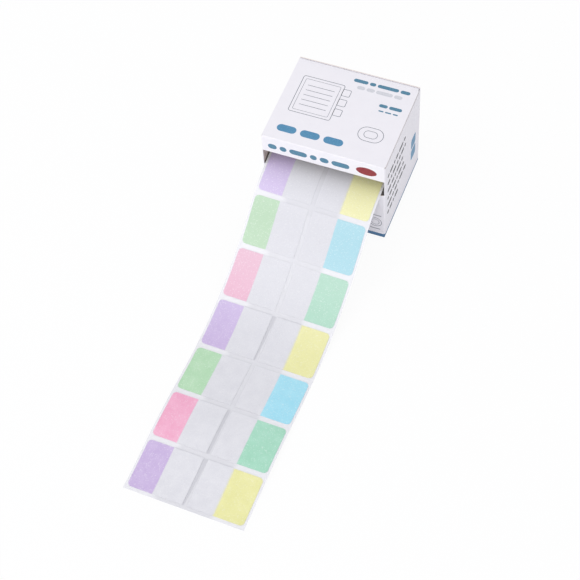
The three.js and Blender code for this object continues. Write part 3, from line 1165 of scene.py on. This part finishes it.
@dataclass
class TuckLid:
    """Top panel of the carton with its tuck flap, and the crease that joins it to the lip."""

    half_width: float = 31.8
    tuck_half_width: float = 31.25
    board: float = 0.45
    top: float = 56.5
    hinge_y: float = -26.55
    front_y: float = -26.0
    rear_y: float = 26.4
    fold_radius: float = 0.6
    tuck_length: float = 12.0
    tuck_corner: float = 6.0
    # The flap leans in far enough to swing clear of the back wall: its straight fall over twice
    # the way from the hinge to the fold, and 1.5 degrees to spare
    lean: float = math.asin(11.1 / (2 * 52.8)) + math.radians(1.5)
    shoulder: float = 2.2
    skin: float = 0.02
    skin_share: float = 0.8
    crease_inset: float = 0.3
    crease_gap: float = 0.02
    crease_turn: float = math.radians(84)
    fold_parts: int = 8
    crease_parts: int = 10
    crease_angle: float = 40.0
    tolerance: float = 0.01

    def build_panel(self, *materials: bpy.types.Material) -> bpy.types.Object:
        """Model the panel flat, turn its rear edge down round the fold, and give it thickness.

        Args:
            *materials: Those of its outer side, its cut edges and its inner side.

        Returns:
            The panel with its tuck flap.
        """
        fold_y = self.rear_y - self.fold_radius
        middle = (0, (self.front_y + fold_y) / 2)
        size = (2 * self.half_width, fold_y - self.front_y)
        panel = start_sheet("lid_board", middle, size, self.top)
        bpy.ops.object.mode_set(mode="EDIT")
        cut_line((0, (fold_y - self.shoulder) * MM, 0), (0, 1, 0))
        pick(panel, Element.VERTEX, lambda v: v.y > (fold_y - self.tolerance) * MM)
        bpy.ops.transform.resize(value=(self.tuck_half_width / self.half_width, 1, 1))
        pick(panel, Element.EDGE, lambda v: v.y > (fold_y - self.tolerance) * MM)
        bpy.ops.mesh.spin(
            steps=self.fold_parts, angle=math.pi / 2 + self.lean,
            center=(0, fold_y * MM, (self.top - self.fold_radius) * MM), axis=(1, 0, 0),
        )
        fall = self.tuck_length - self.fold_radius
        bpy.ops.mesh.extrude_region_move(
            TRANSFORM_OT_translate={
                "value": (0, -fall * math.sin(self.lean) * MM, -fall * math.cos(self.lean) * MM)
            }
        )
        tip = (self.top - self.fold_radius - fall / 2) * MM
        pick(panel, Element.VERTEX, lambda v: v.z < tip)
        bpy.ops.mesh.bevel(affect="VERTICES", offset=self.tuck_corner * MM, segments=self.fold_parts)
        self.face_outwards(panel)
        dress(panel, *materials)
        apply_modifier(
            panel, "SOLIDIFY", thickness=self.board * MM, offset=-1,
            material_offset=2, material_offset_rim=1, use_even_offset=True,
        )
        smooth(panel)
        return panel

    def face_outwards(self, sheet: bpy.types.Object) -> None:
        """Join the corners of an open sheet and turn its faces out of the carton.

        Args:
            sheet: The sheet, which is in edit mode and is left in object mode.
        """
        bpy.ops.mesh.select_all(action="SELECT")
        bpy.ops.mesh.remove_doubles(threshold=1e-6)
        bpy.ops.mesh.normals_make_consistent(inside=False)
        bpy.ops.object.mode_set(mode="OBJECT")
        if sum((p.normal.z * p.area for p in sheet.data.polygons), 0.0) < 0:
            sheet.data.flip_normals()

    def build_crease(self) -> bpy.types.Object:
        """Wrap a thin skin round the front fold, so that lip and lid read as one sheet.

        Returns:
            The skin, which ends just short of the lid.
        """
        tail = self.front_y - self.hinge_y - self.crease_gap
        size = (2 * (self.half_width - self.crease_inset), tail)
        crease = start_sheet("lid_crease", (0, self.hinge_y + tail / 2), size, self.top + self.skin)
        bpy.ops.object.mode_set(mode="EDIT")
        pick(crease, Element.EDGE, lambda v: v.y < (self.hinge_y + self.tolerance) * MM)
        bpy.ops.mesh.spin(
            steps=self.crease_parts, angle=-self.crease_turn,
            center=(0, self.hinge_y * MM, (self.top - self.board) * MM), axis=(1, 0, 0),
        )
        self.face_outwards(crease)
        apply_modifier(crease, "SOLIDIFY", thickness=self.skin * self.skin_share * MM, offset=-1)
        smooth(crease, self.crease_angle)
        return crease

    def build(self) -> list[bpy.types.Object]:
        """Build both pieces and dress them. The skin stays with the lip when the lid turns.

        Returns:
            The panel and the skin.
        """
        coated = CoatedBoard().make()
        panel = self.build_panel(coated, CutBoardEdge().make(), BareBoard().make())
        crease = self.build_crease()
        dress(crease, coated)
        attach(panel, LID_BODY)
        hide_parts("lid")
        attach(crease, CARTON_BODY)
        return [panel, crease]


class Face(Enum):
    """A face of the closed carton that carries print, with its right and up direction."""

    TOP = ((1, 0, 0), (0, 1, 0))
    FRONT = ((1, 0, 0), (0, 0, 1))
    RIGHT = ((0, 1, 0), (0, 0, 1))
    LEFT = ((0, -1, 0), (0, 0, 1))

    def matrix(self, out: float) -> Matrix:
        """Find the frame in which the face's print is drawn flat.

        Args:
            out: Distance of the face from the origin, in metres.

        Returns:
            The frame.
        """
        right, up = (Vector(side) for side in self.value)
        normal = right.cross(up)
        turn = Matrix((right, up, normal)).transposed().to_4x4()
        return Matrix.Translation(normal * out) @ turn


@dataclass
class Print:
    """Plain printed shapes: pills, an oval, bars and thin frames."""

    ink: float = 0.012
    half_width: float = 32.0
    half_depth: float = 27.0
    height: float = 56.5
    lift: float = 0.002
    # A corner bevelled by the whole half side would meet the next one
    corner_share: float = 0.995
    corner_parts: int = 6
    oval_parts: int = 40
    # Bars on the side walls: their left end, the highest row, and the way from row to row
    block_start: tuple[float, float] = (-23.0, 45.0)
    block_pitch: float = 5.8
    block_scale: float = 1.3

    def thicken(self) -> None:
        """Give the flat shape in edit mode the thickness of the ink and leave edit mode."""
        bpy.ops.mesh.select_mode(type="FACE")
        bpy.ops.mesh.select_all(action="SELECT")
        bpy.ops.mesh.extrude_region_move(TRANSFORM_OT_translate={"value": (0, 0, self.ink * MM)})
        bpy.ops.object.mode_set(mode="OBJECT")

    def plate(
        self, centre: tuple[float, float], size: tuple[float, float], corner: float = 0.0, line: float = 0.0
    ) -> bpy.types.Object:
        """Model one flat shape in the plane of its face.

        Args:
            centre: Middle of the shape, in millimetres.
            size: Width and height.
            corner: Radius of its corners, or 0 for square ones.
            line: Width of its outline if only that is printed, or 0 for a full shape.

        Returns:
            The shape, as thick as the ink.
        """
        shape = start_sheet("mark", centre, size)
        bpy.ops.object.mode_set(mode="EDIT")
        if corner > 0:
            bpy.ops.mesh.select_mode(type="VERT")
            bpy.ops.mesh.select_all(action="SELECT")
            bpy.ops.mesh.bevel(
                affect="VERTICES", offset=corner * self.corner_share * MM, segments=self.corner_parts
            )
        if line > 0:
            bpy.ops.mesh.select_mode(type="FACE")
            bpy.ops.mesh.select_all(action="SELECT")
            bpy.ops.mesh.inset(thickness=line * MM, depth=0)
            bpy.ops.mesh.delete(type="FACE")
        self.thicken()
        return shape

    def oval(self, centre: tuple[float, float], size: tuple[float, float]) -> bpy.types.Object:
        """Model one flat oval in the plane of its face.

        Args:
            centre: Middle of the oval, in millimetres.
            size: Width and height.

        Returns:
            The oval, as thick as the ink.
        """
        bpy.ops.object.select_all(action="DESELECT")
        bpy.ops.mesh.primitive_circle_add(
            vertices=self.oval_parts, radius=0.5, fill_type="NGON",
            location=(centre[0] * MM, centre[1] * MM, 0),
        )
        shape = bpy.context.object
        shape.scale = (size[0] * MM, size[1] * MM, 1)
        settle(shape, "mark")
        bpy.ops.object.mode_set(mode="EDIT")
        self.thicken()
        return shape

    def bars(
        self, start: tuple[float, float], lengths: list[float], height: float, gap: float
    ) -> list[bpy.types.Object]:
        """Model a row of bars with round ends.

        Args:
            start: Left end of the row, at half its height, in millimetres.
            lengths: Length of each bar, from left to right.
            height: Their height.
            gap: Space between two of them.

        Returns:
            The bars.
        """
        x, shapes = start[0], []
        for length in lengths:
            shapes.append(self.plate((x + length / 2, start[1]), (length, height), height / 2))
            x += length + gap
        return shapes

    def fix(
        self, name: str, shapes: list[bpy.types.Object], face: Face, out: float, body: str,
        ink: bpy.types.Material,
    ) -> bpy.types.Object:
        """Join shapes of one ink, stand them on their face and hang them on a body.

        Args:
            name: Name of the joined piece.
            shapes: Shapes drawn in the plane of the face.
            face: Which face of the carton they are on.
            out: Distance of the face from the origin, in millimetres.
            body: CAD body that the face belongs to.
            ink: Their material.

        Returns:
            The joined piece.
        """
        bpy.ops.object.select_all(action="DESELECT")
        for shape in shapes:
            shape.select_set(True)
        bpy.context.view_layer.objects.active = shapes[0]
        if len(shapes) > 1:
            bpy.ops.object.join()
        piece = shapes[0]
        piece.name = piece.data.name = name
        turn_faces_out(piece)
        piece.data.transform(face.matrix(out * MM))
        dress(piece, ink)
        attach(piece, body)
        return piece

    def build(self) -> list[bpy.types.Object]:
        """Print each face of the carton that has print.

        Returns:
            One piece for each ink on each face.
        """
        blue = PrintingInk("ink_steel_blue", "4c89b0", "5f9abd").make()
        teal = PrintingInk("ink_teal", "4b7f9a", "6593ab").make()
        grey = PrintingInk("ink_pale_grey", "d2d3da", "dfe0e6").make()
        line = PrintingInk("ink_line_grey", "747b84", "8d939b").make()
        red = PrintingInk("ink_dark_red", "8e2633", "9d3641").make()
        black = PrintingInk("ink_soft_black", "23252e", "3c3e48").make()
        pieces = self.print_top(blue, teal, grey, line)
        pieces += self.print_front(teal, red, line)
        pieces += self.print_sides(blue, black)
        return pieces

    def print_top(self, *inks: bpy.types.Material) -> list[bpy.types.Object]:
        """Print the lid: three pills, a heading in bars, and a page with tabs as a thin frame.

        Args:
            *inks: The blue, teal, grey and line inks.

        Returns:
            One piece for each ink.
        """
        blue, teal, grey, line = inks
        top = self.height + self.lift
        pills = [self.plate((x, -19.2), (10.0, 4.3), 2.15) for x in (-21.5, -9.4, 2.7)]
        heading = self.bars((-1.0, 21.2), [7.5, 3.2, 11.0, 5.0], 2.1, 0.9)
        heading += self.bars((16.2, 9.6), [4.4, 6.6], 2.0, 0.8)
        heading += self.bars((17.0, 6.2), [2.6, 3.2, 2.6], 0.8, 0.8)
        under = self.bars((2.0, 17.2), [4.2, 4.2, 8.6, 4.2], 2.2, 0.8)
        frames = [
            self.plate((-14.5, 4.2), (22.0, 24.0), 1.2, 0.3),
            self.plate((-14.5, 4.2), (18.6, 20.6), 0.8, 0.2),
        ]
        frames += [self.plate((-1.6, y), (4.4, 4.6), 0.8, 0.28) for y in (11.6, 5.0, -1.6)]
        frames += [self.plate((-14.5, y), (14.0, 0.28)) for y in (10.6, 7.4, 4.2, 1.0, -2.2)]
        frames += [
            self.plate((18.5, -9.5), (13.0, 9.0), 4.4, 0.3),
            self.plate((18.5, -9.5), (7.0, 4.6), 2.2, 0.28),
        ]
        return [
            self.fix("lid_print_blue", pills, Face.TOP, top, LID_BODY, blue),
            self.fix("lid_print_teal", heading, Face.TOP, top, LID_BODY, teal),
            self.fix("lid_print_grey", under, Face.TOP, top, LID_BODY, grey),
            self.fix("lid_print_lines", frames, Face.TOP, top, LID_BODY, line),
        ]

    def print_front(self, *inks: bpy.types.Material) -> list[bpy.types.Object]:
        """Print the lip with bars and a bare oval, and the front with two rings.

        Args:
            *inks: The teal, red and line inks.

        Returns:
            One piece for each ink.
        """
        teal, red, line = inks
        front = self.half_depth + self.lift
        words = self.bars((-28.6, 50.1), [4.6, 3.6, 9.2, 3.6, 4.6, 9.2], 3.5, 1.5)
        oval = [self.oval((22.4, 50.4), (10.6, 5.6))]
        rings = [
            self.plate((27.0, 12.0), (7.0, 7.0), 3.5, 0.3),
            self.plate((27.0, 12.0), (4.4, 4.4), 2.2, 0.25),
            self.plate((27.0, 17.6), (6.4, 0.5), 0.25),
            self.plate((27.0, 6.6), (5.4, 0.5), 0.25),
        ]
        return [
            self.fix("front_print_teal", words, Face.FRONT, front, CARTON_BODY, teal),
            self.fix("front_print_red", oval, Face.FRONT, front, CARTON_BODY, red),
            self.fix("front_print_lines", rings, Face.FRONT, front, CARTON_BODY, line),
        ]

    def print_sides(self, *inks: bpy.types.Material) -> list[bpy.types.Object]:
        """Print both side walls with a block of bars and two blank labels.

        Args:
            *inks: The blue and black inks.

        Returns:
            One piece for each ink on each wall.
        """
        blue, black = inks
        side = self.half_width + self.lift
        block = (
            [2, 4, 1.6, 3, 5, 2], [3, 1.6, 4, 2, 2, 3.4, 1.6], [4, 3, 1.6, 5, 2],
            [1.6, 3, 4, 1.6, 4, 2], [5, 2, 3, 1.6, 4, 3], [2, 3, 1.6, 4],
        )
        pieces = []
        for face, label in ((Face.RIGHT, "right"), (Face.LEFT, "left")):
            rows = []
            for i, lengths in enumerate(block):
                start = (self.block_start[0], self.block_start[1] - self.block_pitch * i)
                rows += self.bars(start, [self.block_scale * length for length in lengths], 2.0, 0.8)
            blanks = [self.plate((17.0, y), (7.0, 7.4), 1.4) for y in (26.6, 18.0)]
            pieces += [
                self.fix(f"{label}_print_bars", rows, face, side, CARTON_BODY, black),
                self.fix(f"{label}_print_label", blanks, face, side, CARTON_BODY, blue),
            ]
        return pieces


@dataclass(frozen=True)
class Softbox:
    """One square lamp: where it hangs and its side, in metres, and its power in watts."""

    name: str
    place: tuple[float, float, float]
    size: float
    power: float


@dataclass
class Studio:
    """Plain pale floor, soft light and the camera at the photograph's angle.

    The lamps and the place they point at are in metres, unlike the rest.
    """

    floor_size: float = 6000.0
    floor_drop: float = 0.05
    camera_place: tuple[float, float, float] = (185.25, -482.57, 667.38)
    azimuth: float = 24.528
    elevation: float = 55.958
    roll: float = -4.32
    lens: float = 100.6
    sensor: float = 36.0
    nearest: float = 50.0
    furthest: float = 20000.0
    floor_tone: str = "f4f4f6"
    floor_glow: float = 0.94
    sky_tone: str = "fafafd"
    sky_power: float = 0.76
    lamp_aim: tuple[float, float, float] = (0, -0.08, 0.02)
    lamps: tuple[Softbox, ...] = (
        Softbox("softbox_left", (-0.7, -0.5, 1.3), 0.9, 6.6),
        Softbox("softbox_front", (0.4, -1.3, 0.42), 0.8, 1.9),
        Softbox("softbox_low", (0.1, -1.0, 0.14), 0.5, 1.5),
    )

    def seen_plainly(self, tree: bpy.types.NodeTree) -> bpy.types.NodeSocket:
        """Tell what the camera sees from what only lights the object.

        Args:
            tree: The floor's or the world's tree.

        Returns:
            1 for rays from the camera, straight, by a gloss or through the film, and 0 for others.
        """
        rays = add_node(tree, "ShaderNodeLightPath")
        seen = rays.outputs["Is Camera Ray"]
        for kind in ("Is Glossy Ray", "Is Transmission Ray"):
            either = add_node(
                tree, "ShaderNodeMath", {"operation": "MAXIMUM"}, in0=seen, in1=rays.outputs[kind]
            )
            seen = either.outputs[0]
        return seen

    def lay_floor(self) -> None:
        """Lay the floor: white to the camera, where the object's shadow still shows."""
        floor = start_sheet("studio_floor", (0, 0), (self.floor_size, self.floor_size), -self.floor_drop)
        material, tree = new_material("pale_studio_floor")
        paper = add_node(tree, "ShaderNodeBsdfDiffuse", Color=linear(self.floor_tone))
        glow = add_node(tree, "ShaderNodeEmission", Color=(1, 1, 1, 1), Strength=1.0)
        share = add_node(
            tree, "ShaderNodeMath", {"operation": "MULTIPLY"},
            in0=self.seen_plainly(tree), in1=self.floor_glow,
        )
        both = add_node(
            tree, "ShaderNodeMixShader", Fac=share.outputs[0], in1=paper.outputs[0], in2=glow.outputs[0]
        )
        add_node(tree, "ShaderNodeOutputMaterial", Surface=both.outputs[0])
        dress(floor, material)

    def fill_with_light(self) -> None:
        """Set the world: white to the camera, and a soft even light on the object."""
        world = bpy.data.worlds.new("studio_world")
        bpy.context.scene.world = world
        world.use_nodes = True
        tree = world.node_tree
        tree.nodes.clear()
        soft = add_node(
            tree, "ShaderNodeBackground", Color=linear(self.sky_tone), Strength=self.sky_power
        )
        white = add_node(tree, "ShaderNodeBackground", Color=(1, 1, 1, 1), Strength=1.0)
        both = add_node(
            tree, "ShaderNodeMixShader", Fac=self.seen_plainly(tree),
            in1=soft.outputs[0], in2=white.outputs[0],
        )
        add_node(tree, "ShaderNodeOutputWorld", Surface=both.outputs[0])

    def hang_lamp(self, softbox: Softbox) -> None:
        """Hang one square softbox that points at the object.

        Args:
            softbox: The lamp.
        """
        lamp = bpy.data.lights.new(softbox.name, "AREA")
        lamp.shape = "SQUARE"
        lamp.size = softbox.size
        lamp.energy = softbox.power
        holder = bpy.data.objects.new(softbox.name, lamp)
        bpy.context.scene.collection.objects.link(holder)
        aim = Vector(self.lamp_aim) - Vector(softbox.place)
        turn = aim.to_track_quat("-Z", "Y").to_matrix().to_4x4()
        holder.matrix_world = Matrix.Translation(softbox.place) @ turn

    def set_camera(self) -> None:
        """Place the camera where the photograph was taken from."""
        azimuth, elevation, roll = (math.radians(a) for a in (self.azimuth, self.elevation, self.roll))
        ahead = Vector(
            (
                -math.sin(azimuth) * math.cos(elevation),
                math.cos(azimuth) * math.cos(elevation),
                -math.sin(elevation),
            )
        )
        level = ahead.cross(Vector((0, 0, 1))).normalized()
        over = level.cross(ahead)
        right = math.cos(roll) * level + math.sin(roll) * over
        up = right.cross(ahead)
        data = bpy.data.cameras.new("photo_camera")
        data.sensor_width = self.sensor
        data.lens = self.lens
        data.clip_start, data.clip_end = self.nearest * MM, self.furthest * MM
        camera = bpy.data.objects.new("photo_camera", data)
        bpy.context.scene.collection.objects.link(camera)
        turn = Matrix((right, up, -ahead)).transposed().to_4x4()
        camera.matrix_world = Matrix.Translation(Vector(self.camera_place) * MM) @ turn
        bpy.context.scene.camera = camera

    def build(self) -> None:
        """Set up the whole studio."""
        self.lay_floor()
        self.fill_with_light()
        for softbox in self.lamps:
            self.hang_lamp(softbox)
        self.set_camera()
        bpy.context.scene.view_settings.view_transform = "Standard"


def main() -> None:
    """Build the object's pieces in order, dress the CAD nodes and set up the studio."""
    logging.basicConfig(level=logging.INFO, format="%(name)s: %(message)s")
    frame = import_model()
    nodes = frame["nodes"]

    pieces = Carton().build(nodes) + TabStrip(FilmRoute()).build(nodes)
    pieces += TuckLid().build() + Print().build()
    for piece in pieces:
        log.info("%s made with %d faces", piece.name, len(piece.data.polygons))

    Studio().build()


if __name__ == "__main__":
    main()
